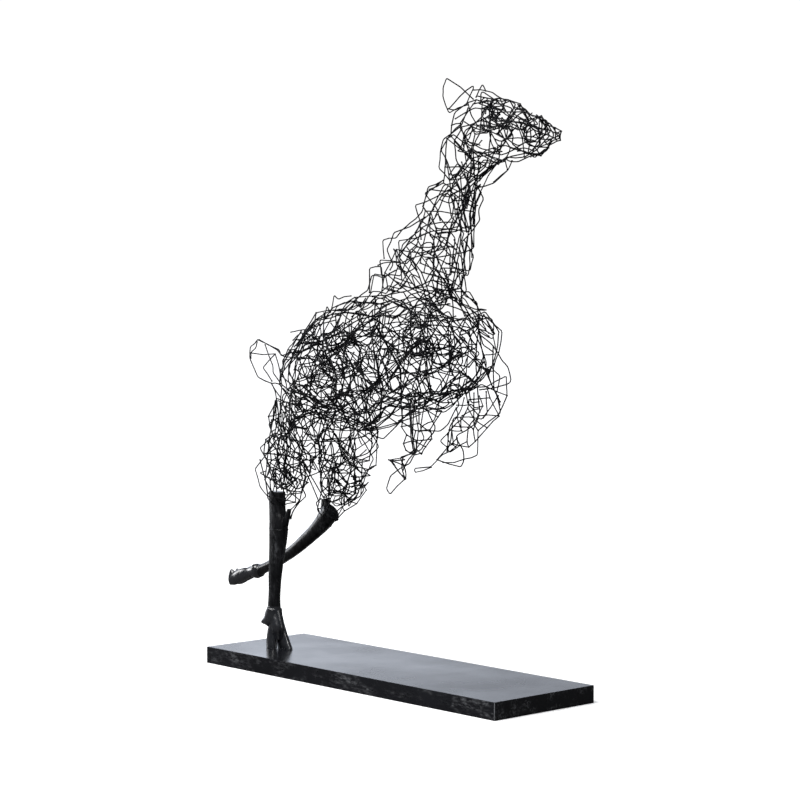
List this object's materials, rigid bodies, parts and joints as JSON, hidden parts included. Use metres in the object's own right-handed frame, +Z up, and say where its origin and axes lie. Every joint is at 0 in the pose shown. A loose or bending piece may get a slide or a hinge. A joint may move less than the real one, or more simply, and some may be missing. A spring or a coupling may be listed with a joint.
{
  "type": "deer sculpture",
  "caption": "Leaping deer of bent and welded black wire, standing on one cast hind leg with the other raised, on a long flat black plinth.",
  "frame": {"origin": "middle of the plinth's underside", "axes": "+Z up, +X along the plinth the way the deer heads, +Y to the deer's left"},
  "size_m": [0.6, 0.155, 0.6924],
  "materials": {
    "plinth_black": "black satin lacquer on steel plate, rubbed on the edges",
    "leg_black": "black patina, satin, glossier on hooves and fetlocks",
    "wire_black": "black matt to satin on steel wire"
  },
  "bodies": {
    "root": {"plinth": "plinth_black", "standing_hind_leg": "leg_black", "raised_hind_leg": "leg_black", "wire_body": "wire_black"}
  },
  "joints": []
}
